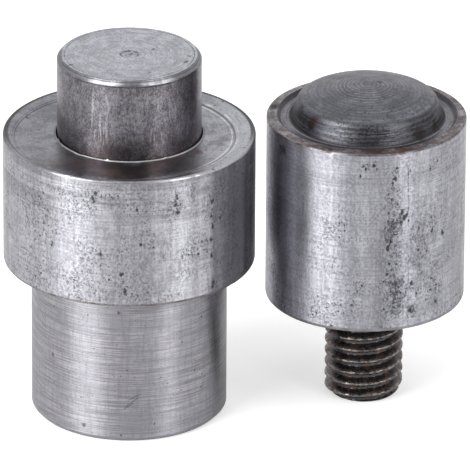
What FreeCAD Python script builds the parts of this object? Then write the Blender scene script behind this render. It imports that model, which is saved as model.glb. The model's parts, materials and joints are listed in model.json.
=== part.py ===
"""Grommet setting die set for a hand lever press.

The lower die is a shouldered steel body with a spring-loaded centring plunger. The upper die is a
domed steel body on a threaded stud, and stands beside the lower die on its stud. Millimetres, +Z up.
The origin is on the lower die's axis, in the plane that both dies stand on.
"""
import FreeCAD, Part
import math
import os
from FreeCAD import Vector

os.makedirs("parts", exist_ok=True)

# Lower die body
head_diameter = 25.2
head_height = 13.55
head_top_round = 0.35
head_bottom_round = 0.3
shank_diameter = 19.6
shank_height = 16.1
shank_chamfer = 0.45
shank_wall = 1.8
facing_margin = 1.5
facing_depth = 0.15
facing_shift_x = -0.45
facing_shift_y = -0.9
bore_lip_round = 0.25

# Centring plunger. Its bore fits inside the shank's wall and narrows above the flange, as a stop.
stop_shoulder_width = 0.72
running_clearance = 0.08
plunger_proud = 8.35
plunger_top_round = 0.4
plunger_pip_diameter = 2.0
plunger_pip_depth = 0.1
plunger_travel = 11.8
stop_clearance = 0.2
flange_thickness = 2.6
pocket_wall = 1.5
pocket_depth = 12.0

# Plunger spring
spring_wire = 1.2
spring_clearance = 0.3
spring_coils = 8
closed_coils = 2
closed_coil_gap = 0.5
spring_ground_depth = 0.25

# Spring seat disc and its retaining ring
disc_thickness = 1.5
disc_vent_diameter = 4.0
disc_clearance = 0.1
ring_thickness = 1.0
ring_width = 2.0
ring_groove_width = 1.1
ring_groove_depth = 0.4
ring_seat_height = 1.3
ring_fit_clearance = 0.05
ring_gap_width = 4.0
ring_lug_width = 3.0
ring_lug_reach = 3.8
ring_lug_hole = 1.7
bore_mouth_chamfer = 0.4

# Upper die body
body_diameter = 20.0
body_height = 19.4
body_top_round = 0.15
body_bottom_round = 0.45
turning_shift_x = 0.07
turning_shift_y = 0.43
rim_width = 0.95
groove_depth = 0.4
groove_wall_slope = 0.4
groove_floor_width = 0.95
groove_round = 0.2
dome_foot_round = 0.5
dome_flank_run = 0.7
dome_shoulder_height = 1.65
dome_shoulder_round = 0.5
dome_ledge_width = 0.85
cap_rise = 1.08
cap_edge_height = 2.08

# Where the upper die stands beside the lower die
die_gap = 1.29
die_bearing = 8.13

# Threaded stud, a metric set screw of 8 mm
thread_diameter = 7.9
thread_pitch = 1.25
thread_depth = 0.68
crest_flat_share = 0.14
root_flat_share = 0.22
ridge_overlap = 0.1
stud_length = 20.0
stud_exposed = 10.7
stud_end_diameter = 6.6
tapped_hole_clearance = 0.05
tapped_hole_spare = 2.5
drill_cone_angle = 118.0
hex_across_flats = 4.0
hex_depth = 4.0
hex_sides = 6

# How far a cutting tool runs past the face that it leaves
overrun = 1.0
same_point = 1e-6

# Places that follow from the sizes above
head_radius = head_diameter / 2
shank_radius = shank_diameter / 2
lower_die_height = shank_height + head_height
spring_bore_radius = shank_radius - shank_wall
guide_radius = spring_bore_radius - stop_shoulder_width
flange_radius = spring_bore_radius - running_clearance
plunger_radius = guide_radius - running_clearance
pocket_radius = plunger_radius - pocket_wall
spring_radius = pocket_radius - spring_clearance
disc_base = ring_seat_height + ring_thickness
spring_base = disc_base + disc_thickness
flange_base = spring_base + plunger_travel + stop_clearance
shoulder_height = flange_base + flange_thickness
spring_top = flange_base + pocket_depth
body_radius = body_diameter / 2
body_top = stud_exposed + body_height
rim_radius = body_radius - rim_width
dome_foot_radius = rim_radius - groove_wall_slope - groove_floor_width
dome_shoulder_radius = dome_foot_radius - dome_flank_run
cap_radius = dome_shoulder_radius - dome_ledge_width
die_spacing = head_radius + die_gap + body_radius
die_spacing_x = die_spacing * math.cos(math.radians(die_bearing))
die_spacing_y = die_spacing * math.sin(math.radians(die_bearing))


def rounded_path(corners, closed=False):
    """Edges of a path in the XZ plane. Each corner is (radius from the axis, height, rounding)."""
    count = len(corners)
    points = [Vector(radius, 0, height) for radius, height, _ in corners]
    starts, ends, edges = [], [], []
    for index, (_, _, rounding) in enumerate(corners):
        here = points[index]
        inside = closed or 0 < index < count - 1
        if not rounding or not inside:
            starts.append(here)
            ends.append(here)
            continue
        back = (points[index - 1] - here).normalize()
        ahead = (points[(index + 1) % count] - here).normalize()
        half_angle = back.getAngle(ahead) / 2
        setback = rounding / math.tan(half_angle)
        to_centre = (back + ahead).normalize()
        centre = here + to_centre * (rounding / math.sin(half_angle))
        starts.append(here + back * setback)
        ends.append(here + ahead * setback)
        edges.append(Part.Arc(starts[-1], centre - to_centre * rounding, ends[-1]).toShape())
    for index in range(count if closed else count - 1):
        start, end = ends[index], starts[(index + 1) % count]
        if start.distanceToPoint(end) > same_point:
            edges.append(Part.makeLine(start, end))
    return edges


def turned(edges, x=0, y=0):
    """Solid of revolution about the vertical axis through (x, y)."""
    wire = Part.Wire(Part.__sortEdges__(edges))
    solid = Part.Face(wire).revolve(Vector(0, 0, 0), Vector(0, 0, 1), 360)
    solid = Part.Solid(solid) if solid.ShapeType != "Solid" else solid
    solid.translate(Vector(x, y, 0))
    return solid


def turned_polygon(corners, x=0, y=0):
    return turned(rounded_path(corners, closed=True), x, y)


def disc(radius, bottom, top, x=0, y=0):
    return Part.makeCylinder(radius, top - bottom, Vector(x, y, bottom))


def lower_die_body():
    """Raw drawn head over a turned shank, bored for the plunger, its flange and its spring."""
    top = lower_die_height
    solid = turned_polygon([
        (0, 0, 0),
        (shank_radius - shank_chamfer, 0, 0),
        (shank_radius, shank_chamfer, 0),
        (shank_radius, shank_height, 0),
        (head_radius, shank_height, head_bottom_round),
        (head_radius, top, head_top_round),
        (0, top, 0),
    ])
    facing = disc(head_radius - facing_margin, top - facing_depth, top + overrun,
                  facing_shift_x, facing_shift_y)
    face = top - facing_depth
    groove_radius = spring_bore_radius + ring_groove_depth
    groove_top = ring_seat_height + ring_groove_width
    lip_radius = guide_radius + bore_lip_round
    bore = turned(rounded_path([
        (0, -overrun, 0),
        (spring_bore_radius + bore_mouth_chamfer + overrun, -overrun, 0),
        (spring_bore_radius, bore_mouth_chamfer, 0),
        (spring_bore_radius, ring_seat_height, 0),
        (groove_radius, ring_seat_height, 0),
        (groove_radius, groove_top, 0),
        (spring_bore_radius, groove_top, 0),
        (spring_bore_radius, shoulder_height, 0),
        (guide_radius, shoulder_height, 0),
        (guide_radius, face, bore_lip_round),
        (lip_radius + overrun, face, 0),
        (lip_radius + overrun, face + overrun, 0),
        (0, face + overrun, 0),
    ], closed=True))
    return solid.cut(facing).cut(bore)


def centring_plunger():
    """Flanged pin with a pocket for the spring in its underside and a centre mark in its top."""
    top = lower_die_height + plunger_proud
    pip = turned_polygon([
        (0, top - plunger_pip_depth, 0),
        (plunger_pip_diameter / 2, top, 0),
        (plunger_pip_diameter / 2, top + overrun, 0),
        (0, top + overrun, 0),
    ])
    return turned_polygon([
        (0, spring_top, 0),
        (pocket_radius, spring_top, 0),
        (pocket_radius, flange_base, 0),
        (flange_radius, flange_base, 0),
        (flange_radius, shoulder_height, 0),
        (plunger_radius, shoulder_height, 0),
        (plunger_radius, top, plunger_top_round),
        (0, top, 0),
    ]).cut(pip)


def biarc(start, start_way, end, end_way):
    """Two arcs that join two points and leave them in the given directions."""
    chord = end - start
    ways = start_way + end_way
    spread = 2 * (1 - start_way.dot(end_way))
    reach = (math.sqrt(chord.dot(ways) ** 2 + spread * chord.dot(chord)) - chord.dot(ways)) / spread
    first_knee = start + start_way * reach
    second_knee = end - end_way * reach
    joint = (first_knee + second_knee) / 2
    edges = []
    for begin, knee, finish in ((start, first_knee, joint), (joint, second_knee, end)):
        middle = (begin + finish) / 2
        half_chord = begin.distanceToPoint(middle)
        turn = math.acos(half_chord / begin.distanceToPoint(knee))
        crown = middle + (knee - middle) * (math.tan(turn / 2) / math.tan(turn))
        edges.append(Part.Arc(begin, crown, finish).toShape())
    return edges


def spring_height(turns, coils, closed_pitch, open_pitch):
    """Height of the wire's centre line after a number of turns from the lower end."""
    low = closed_coils / 2
    height = closed_pitch * min(turns, low)
    height += open_pitch * min(max(turns - low, 0), coils - closed_coils)
    return height + closed_pitch * max(turns - (coils - low), 0)


def plunger_spring():
    """Compression spring with closed ends, ground flat where it meets the disc and the pocket."""
    wire_radius = spring_wire / 2
    coil_radius = spring_radius - wire_radius
    closed_pitch = spring_wire + closed_coil_gap
    first_height = spring_base + wire_radius - spring_ground_depth
    rise = spring_top - spring_base - spring_wire + 2 * spring_ground_depth
    open_pitch = (rise - closed_coils * closed_pitch) / (spring_coils - closed_coils)
    steps_per_turn = 4
    steps = spring_coils * steps_per_turn
    points, ways = [], []
    for step in range(steps + 1):
        turns = step / steps_per_turn
        angle = 2 * math.pi * turns
        height = first_height + spring_height(turns, spring_coils, closed_pitch, open_pitch)
        closed_end = turns < closed_coils / 2 or turns > spring_coils - closed_coils / 2
        slope = closed_pitch if closed_end else open_pitch
        if turns in (closed_coils / 2, spring_coils - closed_coils / 2):
            slope = (closed_pitch + open_pitch) / 2
        points.append(Vector(coil_radius * math.cos(angle), coil_radius * math.sin(angle), height))
        around = Vector(-math.sin(angle), math.cos(angle), 0) * coil_radius * 2 * math.pi
        ways.append((around + Vector(0, 0, slope)).normalize())
    edges = []
    for step in range(steps):
        edges += biarc(points[step], ways[step], points[step + 1], ways[step + 1])
    path = Part.Wire(edges)
    section = Part.Wire([Part.makeCircle(wire_radius, points[0], ways[0])])
    coil = path.makePipeShell([section], True, False)
    least_gap = min(closed_pitch, open_pitch) - spring_wire
    print("spring: open pitch", round(open_pitch, 3), "least gap", round(least_gap, 3))
    ground = disc(spring_radius + overrun, spring_base, spring_top)
    return coil.common(ground)


def spring_seat_disc():
    radius = spring_bore_radius - disc_clearance
    vent = disc(disc_vent_diameter / 2, disc_base - overrun, spring_base + overrun)
    return disc(radius, disc_base, spring_base).cut(vent)


def retaining_ring():
    """Internal ring, open on one side, with two lugs that have a hole each for the pliers."""
    outer = spring_bore_radius + ring_groove_depth - ring_fit_clearance
    low, high = ring_seat_height, disc_base
    band = disc(outer, low, high)
    ring = band.cut(disc(outer - ring_width, low - overrun, high + overrun))
    gap = Part.makeBox(outer + overrun, ring_gap_width, ring_thickness + 2 * overrun,
                       Vector(0, -ring_gap_width / 2, low - overrun))
    ring = ring.cut(gap)
    lug_centre = outer - ring_lug_reach + ring_lug_width / 2
    arm = Part.makeBox(outer - lug_centre, ring_lug_width, ring_thickness,
                       Vector(lug_centre, -ring_lug_width / 2, low)).common(band)
    lug = arm.fuse(disc(ring_lug_width / 2, low, high, lug_centre))
    swing = math.degrees(math.asin((ring_gap_width + ring_lug_width) / 2 / lug_centre))
    hole = disc(ring_lug_hole / 2, low - overrun, high + overrun, lug_centre)
    for sign in (-1, 1):
        for tool in (lug, hole):
            tool.Placement = FreeCAD.Placement(Vector(0, 0, 0), Vector(0, 0, 1), sign * swing)
        ring = ring.fuse(lug).cut(hole)
    return ring.removeSplitter()


def dome_and_groove_cutter():
    """All that is turned away above and around the dome, down to the groove's floor."""
    rim = body_top
    floor = rim - groove_depth
    sphere_radius = (cap_radius ** 2 + cap_rise ** 2) / (2 * cap_rise)
    half_turn = math.asin(cap_radius / sphere_radius) / 2
    apex_height = rim + cap_edge_height + cap_rise
    sphere_centre = apex_height - sphere_radius
    apex = Vector(0, 0, apex_height)
    cap_middle = Vector(sphere_radius * math.sin(half_turn), 0,
                        sphere_centre + sphere_radius * math.cos(half_turn))
    cap_edge = Vector(cap_radius, 0, rim + cap_edge_height)
    outside = body_radius + turning_shift_y + overrun
    edges = [Part.Arc(apex, cap_middle, cap_edge).toShape()]
    edges += rounded_path([
        (cap_radius, rim + cap_edge_height, 0),
        (dome_shoulder_radius, rim + dome_shoulder_height, dome_shoulder_round),
        (dome_foot_radius, floor, dome_foot_round),
        (rim_radius - groove_wall_slope, floor, groove_round),
        (rim_radius, rim, 0),
        (outside, rim, 0),
        (outside, apex_height + overrun, 0),
        (0, apex_height + overrun, 0),
        (0, apex_height, 0),
    ])
    return turned(edges, turning_shift_x, turning_shift_y)


def upper_die_body():
    """Raw drawn body with the dome and groove turned into its face, and a tapped hole below."""
    blank_top = body_top + cap_edge_height + cap_rise
    blank = turned_polygon([
        (0, stud_exposed, 0),
        (body_radius, stud_exposed, body_bottom_round),
        (body_radius, blank_top, 0),
        (0, blank_top, 0),
    ])
    edge = turned_polygon([
        (body_radius - body_top_round, body_top + body_top_round, 0),
        (body_radius - body_top_round, body_top, 0),
        (body_radius, body_top - body_top_round, 0),
        (body_radius + overrun, body_top - body_top_round, 0),
        (body_radius + overrun, body_top + body_top_round, 0),
    ])
    hole_radius = thread_diameter / 2 + tapped_hole_clearance
    hole_end = stud_length + tapped_hole_spare
    cone_height = hole_radius / math.tan(math.radians(drill_cone_angle / 2))
    hole = turned_polygon([
        (0, stud_exposed - overrun, 0),
        (hole_radius, stud_exposed - overrun, 0),
        (hole_radius, hole_end, 0),
        (0, hole_end + cone_height, 0),
    ])
    solid = blank.cut(dome_and_groove_cutter()).cut(edge).cut(hole)
    solid.translate(Vector(die_spacing_x, die_spacing_y, 0))
    return solid


def thread_ridge(low, high):
    """Right-hand helical ridge with a flat crest. Its base is sunk in the core, so that the two join."""
    crest_radius = thread_diameter / 2
    base_radius = crest_radius - thread_depth - ridge_overlap
    half_crest = thread_pitch * crest_flat_share / 2
    flank_width = thread_pitch * (1 - crest_flat_share - root_flat_share) / 2
    half_base = half_crest + flank_width * (thread_depth + ridge_overlap) / thread_depth
    helix = Part.makeHelix(thread_pitch, high - low, crest_radius)
    helix.translate(Vector(0, 0, low))
    corners = [
        Vector(base_radius, 0, low - half_base),
        Vector(crest_radius, 0, low - half_crest),
        Vector(crest_radius, 0, low + half_crest),
        Vector(base_radius, 0, low + half_base),
    ]
    section = Part.makePolygon(corners + corners[:1])
    return Part.Wire(helix.Edges).makePipeShell([section], True, True)


def threaded_stud():
    """Set screw with a right-hand thread, chamfered ends and a hexagon socket in its free end."""
    low = -2 * thread_pitch
    high = stud_length + 2 * thread_pitch
    core = disc(thread_diameter / 2 - thread_depth, low, high)
    end_radius = stud_end_diameter / 2
    bevel = thread_diameter / 2 - end_radius
    envelope = turned_polygon([
        (0, 0, 0),
        (end_radius, 0, 0),
        (end_radius + bevel + overrun, bevel + overrun, 0),
        (end_radius + bevel + overrun, stud_length - bevel - overrun, 0),
        (end_radius, stud_length, 0),
        (0, stud_length, 0),
    ])
    corner_radius = hex_across_flats / 2 / math.cos(math.pi / hex_sides)
    corners = [
        Vector(corner_radius * math.cos(2 * math.pi * side / hex_sides),
               corner_radius * math.sin(2 * math.pi * side / hex_sides), -overrun)
        for side in range(hex_sides + 1)
    ]
    socket = Part.Face(Part.makePolygon(corners)).extrude(Vector(0, 0, hex_depth + overrun))
    rod = core.common(envelope).fuse(thread_ridge(low, high).common(envelope))
    stud = rod.cut(socket)
    stud.translate(Vector(die_spacing_x, die_spacing_y, 0))
    return stud


pieces = {
    "lower_die_body": lower_die_body,
    "centring_plunger": centring_plunger,
    "plunger_spring": plunger_spring,
    "spring_seat_disc": spring_seat_disc,
    "retaining_ring": retaining_ring,
    "upper_die_body": upper_die_body,
    "threaded_stud": threaded_stud,
}

for name, make in pieces.items():
    shape = make()
    box = shape.BoundBox
    print(name, "solids", len(shape.Solids), "valid", shape.isValid(), "volume", round(shape.Volume, 2),
          "z", round(box.ZMin, 3), "to", round(box.ZMax, 3))
    shape.exportStep("parts/" + name + ".step")
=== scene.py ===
# %% [markdown]
# # A grommet setting die set in steel
#
# The set is two turned steel dies for a hand press. The lower die is a shouldered body with a
# spring-loaded plunger in it. The upper die is a domed body on a black threaded stud.
#
# Almost every piece came off a lathe, so almost every shape here is an outline spun about an axis.
# The thread and the spring repeat, so Geometry Nodes make those.

# %% The frame
import bmesh
import bpy
import json
import math
import numpy as np
from collections import namedtuple
from mathutils import Matrix, Vector


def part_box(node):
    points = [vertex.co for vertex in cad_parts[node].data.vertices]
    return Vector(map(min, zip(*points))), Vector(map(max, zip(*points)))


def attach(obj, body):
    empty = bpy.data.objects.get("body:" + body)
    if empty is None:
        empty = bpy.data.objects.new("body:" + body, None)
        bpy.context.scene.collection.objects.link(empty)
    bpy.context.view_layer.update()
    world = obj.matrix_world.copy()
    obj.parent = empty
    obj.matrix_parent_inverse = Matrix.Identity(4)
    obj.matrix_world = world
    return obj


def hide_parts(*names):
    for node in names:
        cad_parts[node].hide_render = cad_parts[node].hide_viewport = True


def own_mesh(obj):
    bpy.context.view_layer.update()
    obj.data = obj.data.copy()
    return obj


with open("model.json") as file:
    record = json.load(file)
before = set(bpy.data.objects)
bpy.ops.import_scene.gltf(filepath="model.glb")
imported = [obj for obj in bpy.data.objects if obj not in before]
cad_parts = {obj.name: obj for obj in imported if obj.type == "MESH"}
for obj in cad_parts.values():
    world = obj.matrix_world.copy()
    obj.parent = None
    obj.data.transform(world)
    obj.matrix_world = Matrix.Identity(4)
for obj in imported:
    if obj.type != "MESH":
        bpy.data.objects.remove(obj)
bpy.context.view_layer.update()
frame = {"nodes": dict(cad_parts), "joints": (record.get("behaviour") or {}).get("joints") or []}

mm = 0.001

# %% [markdown]
# ## Sizes
#
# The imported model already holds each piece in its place, so most sizes are read from its boxes.
# Sizes that a box doesn't show, such as a bore or a rounding, are written here in millimetres.

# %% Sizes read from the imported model
lower_low, lower_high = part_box("lower_die_body")
plunger_low, plunger_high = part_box("centring_plunger")
spring_low, spring_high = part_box("plunger_spring")
upper_low, upper_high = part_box("upper_die_body")
stud_low, stud_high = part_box("threaded_stud")

lower_axis = Vector(((lower_low.x + lower_high.x) / 2, (lower_low.y + lower_high.y) / 2, 0))
upper_axis = Vector(((upper_low.x + upper_high.x) / 2, (upper_low.y + upper_high.y) / 2, 0))
head_radius = (lower_high.x - lower_low.x) / 2
head_top = lower_high.z
upper_radius = (upper_high.x - upper_low.x) / 2
print("head", round(2 * head_radius / mm, 2), "mm across, upper die", round(2 * upper_radius / mm, 2))

# %% Sizes of the lower die
shank_radius = 9.8 * mm
shank_top = 16.1 * mm
shank_chamfer = 0.45 * mm
head_bottom_round = 0.3 * mm
head_top_round = 0.25 * mm
facing_radius = 11.1 * mm
facing_depth = 0.15 * mm
facing_slope = 0.12 * mm
facing_foot = 0.1 * mm
facing_round = 0.05 * mm
facing_shift = Vector((-0.45, -0.9, 0)) * mm
bore_radius = 7.28 * mm
burr_width = 0.2 * mm
burr_height = 0.12 * mm
burr_crest = 0.06 * mm
burr_round = 0.04 * mm
bore_lip_depth = 0.8 * mm
bore_shoulder = 18.4 * mm
spring_bore_radius = 8.0 * mm
ring_groove_low = 1.3 * mm
ring_groove_high = 2.4 * mm
ring_groove_radius = 8.4 * mm
bore_mouth_chamfer = 0.4 * mm

# %% Sizes of the plunger
plunger_radius = 7.2 * mm
plunger_bevel = 0.4 * mm
flange_radius = (plunger_high.x - plunger_low.x) / 2
pocket_radius = 5.7 * mm
pocket_roof = spring_high.z
pip_radius = 1.0 * mm
pip_depth = 0.1 * mm

# %% Sizes of the upper die
body_bottom_round = 0.45 * mm
body_top_round = 0.15 * mm
turning_shift = Vector((0.07, 0.43, 0)) * mm
rim_inner_radius = 9.05 * mm
rim_inner_round = 0.06 * mm
groove_depth = 0.4 * mm
groove_wall_slope = 0.4 * mm
groove_round = 0.2 * mm
dome_foot_radius = 7.7 * mm
dome_foot_round = 0.5 * mm
dome_shoulder_radius = 7.0 * mm
dome_shoulder_rise = 1.65 * mm
dome_shoulder_round = 1.1 * mm
cap_radius = 6.15 * mm
cap_edge_rise = 2.08 * mm
cap_edge_round = 2.0 * mm
cap_rise = 1.08 * mm
rim_top = upper_high.z - cap_edge_rise - cap_rise
tapped_hole_radius = 4.0 * mm
tapped_hole_end = 22.5 * mm
drill_cone_angle = math.radians(118)

# %% [markdown]
# ## Turned shapes
#
# A lathe leaves a solid of revolution, so a piece is given as the corners of its outline, from
# the axis outwards. A corner may be rounded. Real bars are often held a little off centre for a second
# cut: that cut's corners say which axis they were turned on, and the rings between drift from one axis
# to the other. A spin modifier can't do that, so the rings are laid out in mesh code.

# %% Outlines with rounded corners
Corner = namedtuple("Corner", "radius height rounding offset finish")
arc_step = math.radians(15)
fewest_arc_steps = 3
guard_distance = 0.03 * mm
largest_guard_share = 0.3


def corners_in_runs(*runs):
    """Corners from runs: a finish, a share of the shift, and places (radius, height, perhaps a rounding)."""
    return [Corner(*(*place, 0.0)[:3], offset, finish) for finish, offset, *places in runs for place in places]


def outline(corners, step, closed=False):
    """Rows (radius, height, offset, wear, finish) along the corners, no further apart than step."""
    count = len(corners)
    runs = []
    for index, here in enumerate(corners):
        point = Vector((here.radius, here.height))
        if not here.rounding:
            runs.append([(point, 0.0)])
            continue
        before, after = corners[index - 1], corners[(index + 1) % count]
        back = (Vector((before.radius, before.height)) - point).normalized()
        ahead = (Vector((after.radius, after.height)) - point).normalized()
        half = back.angle(ahead) / 2
        middle = (back + ahead).normalized()
        centre = point + middle * (here.rounding / math.sin(half))
        start = point + back * (here.rounding / math.tan(half)) - centre
        turn = math.pi - 2 * half
        side = math.copysign(1, back.x * ahead.y - back.y * ahead.x)
        steps = max(fewest_arc_steps, math.ceil(turn / arc_step))
        arc = []
        for number in range(steps + 1):
            angle = -side * turn * number / steps
            spoke = Vector((start.x * math.cos(angle) - start.y * math.sin(angle),
                            start.x * math.sin(angle) + start.y * math.cos(angle)))
            arc.append((centre + spoke, 1.0))
        runs.append(arc)
    rows = []
    for index, run in enumerate(runs):
        here, after = corners[index], corners[(index + 1) % count]
        rows += [(point.x, point.y, here.offset, wear, here.finish) for point, wear in run]
        if index == count - 1 and not closed:
            break
        begin, end = run[-1][0], runs[(index + 1) % count][0][0]
        length = (end - begin).length
        pieces = max(1, math.ceil(length / step))
        shares = [number / pieces for number in range(1, pieces)]
        guard = min(guard_distance / max(length, guard_distance), largest_guard_share)
        shares += [guard] if here.rounding else []
        shares += [1 - guard] if after.rounding else []
        for share in sorted(shares):
            point = begin.lerp(end, share)
            offset = here.offset + (after.offset - here.offset) * share
            rows.append((point.x, point.y, offset, 0.0, here.finish))
    return rows


# %% Spinning an outline
smallest = 1e-6
sharp_angle = math.radians(28)


def bridge(built, first, second, slot=0):
    """Smooth faces between two rings of points. A ring of one point is a pole."""
    around = max(len(first), len(second))
    for number in range(around):
        after = (number + 1) % around
        corners = [first[number % len(first)], first[after % len(first)],
                   second[after % len(second)], second[number % len(second)]]
        face = built.faces.new(list(dict.fromkeys(corners)))
        face.material_index = slot
        face.smooth = True


def turned(name, rows, axis, shift, materials, around=288, closed=False):
    """Mesh of the outline spun about the axis, each row moved by its own share of the shift."""
    built = bmesh.new()
    wear_layer = built.verts.layers.float.new("wear")
    rings = []
    for radius, height, offset, wear, _ in rows:
        centre = axis + shift * offset + Vector((0, 0, height))
        spots = 1 if radius < smallest else around
        ring = []
        for number in range(spots):
            angle = 2 * math.pi * number / around
            vertex = built.verts.new(centre + Vector((math.cos(angle), math.sin(angle), 0)) * radius)
            vertex[wear_layer] = wear
            ring.append(vertex)
        rings.append(ring)
    for index in range(len(rings) if closed else len(rings) - 1):
        bridge(built, rings[index], rings[(index + 1) % len(rings)], rows[index][4])
    return finished(name, built, materials)


def finished(name, built, materials):
    """The object of a built mesh, with its materials and with its sharp edges marked."""
    bmesh.ops.recalc_face_normals(built, faces=built.faces)
    mesh = bpy.data.meshes.new(name)
    built.to_mesh(mesh)
    built.free()
    for material in materials:
        mesh.materials.append(material)
    mesh.set_sharp_from_angle(angle=sharp_angle)
    return placed(name, mesh)


def placed(name, mesh):
    print(name, len(mesh.vertices), "points,", len(mesh.polygons), "faces")
    return in_scene(name, mesh)


def in_scene(name, data):
    made = bpy.data.objects.new(name, data)
    bpy.context.scene.collection.objects.link(made)
    return made


# %% [markdown]
# ## Wear in the mesh itself
#
# A knock or a burr changes the outline against the light, so it is real geometry. Each one is a place
# and a reach: the points inside the reach move by a push that fades out smoothly.

# %% Dents and burrs
def dented(made, dents):
    """Moves the points inside each dent's reach round its place by up to its push."""
    points = np.empty((len(made.data.vertices), 3), np.float64)
    made.data.vertices.foreach_get("co", points.ravel())
    for place, reach, move in dents:
        away = np.linalg.norm(points - np.array(place), axis=1) / reach
        fade = np.clip(1 - away ** 2, 0, 1) ** 2
        points += fade[:, None] * np.array(move)
    made.data.vertices.foreach_set("co", points.astype(np.float32).ravel())
    made.data.update()


def on_circle(axis, radius, degrees, height):
    angle = math.radians(degrees)
    return axis + Vector((radius * math.cos(angle), radius * math.sin(angle), height))


def outward(degrees, length):
    angle = math.radians(degrees)
    return Vector((math.cos(angle), math.sin(angle), 0)) * length


# %% [markdown]
# ## Steel
#
# All the pieces are bare steel, and they differ in what was done to them: the raw bar keeps its pits, the
# shank shows the lathe's lines, the plunger is dark with oil and the stud is blackened. All of that is
# worked out from the place on the piece, in millimetres, so nothing depends on an image.
#
# A pattern stands for an output of a node, so that sums of patterns can be written as sums.

# %% Patterns and node trees
class Pattern:
    """An output of a node, usually a number that differs from place to place."""

    def __init__(self, tree, socket):
        self.tree, self.socket = tree, socket

    def __add__(self, other):
        return self.tree.maths("ADD", self, other)

    def __sub__(self, other):
        return self.tree.maths("SUBTRACT", self, other)

    def __rsub__(self, other):
        return self.tree.maths("SUBTRACT", other, self)

    def __mul__(self, other):
        return self.tree.maths("MULTIPLY", self, other)

    def __truediv__(self, other):
        return self.tree.maths("DIVIDE", self, other)

    def between(self, low, high, start=0.0, end=1.0):
        """A smooth step: start below low, end above high."""
        return self.tree.pattern("MapRange", {"Value": self, "From Min": low, "From Max": high, "To Min": start,
                                              "To Max": end}, interpolation_type="SMOOTHSTEP")

    def band(self, low, high, soft):
        """1 between low and high, and 0 beyond them, with soft ends."""
        return self.between(low - soft, low + soft) * self.between(high - soft, high + soft, 1.0, 0.0)


class Tree:
    """A node tree, with short words for the nodes that are used again and again."""

    def __init__(self, tree):
        self.tree = tree

    def fill(self, node, inputs):
        """Joins patterns, sockets and nodes to a node's inputs, and sets the plain values."""
        for key, value in inputs.items():
            if isinstance(value, bpy.types.Node):
                value = value.outputs[0]
            if isinstance(value, Pattern):
                value = value.socket
            if isinstance(value, bpy.types.NodeSocket):
                self.tree.links.new(value, node.inputs[key])
            else:
                node.inputs[key].default_value = value
        return node

    def node(self, kind, inputs=None, **settings):
        full_kind = kind if kind.startswith("GeometryNode") else "ShaderNode" + kind
        made = self.tree.nodes.new(full_kind)
        for key, value in settings.items():
            setattr(made, key, value)
        return self.fill(made, inputs or {})

    def pattern(self, kind, inputs=None, output=0, **settings):
        """One output of a new node."""
        return Pattern(self, self.node(kind, inputs, **settings).outputs[output])

    def maths(self, operation, *values):
        return self.pattern("Math", dict(enumerate(values)), operation=operation)

    def vectors(self, operation, first, second):
        """A sum with vectors. A distance and a dot product come back as numbers."""
        inputs = {0: first, "Scale" if operation == "SCALE" else 1: second}
        output = "Value" if operation in ("DISTANCE", "DOT_PRODUCT") else "Vector"
        return self.pattern("VectorMath", inputs, output, operation=operation)


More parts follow.
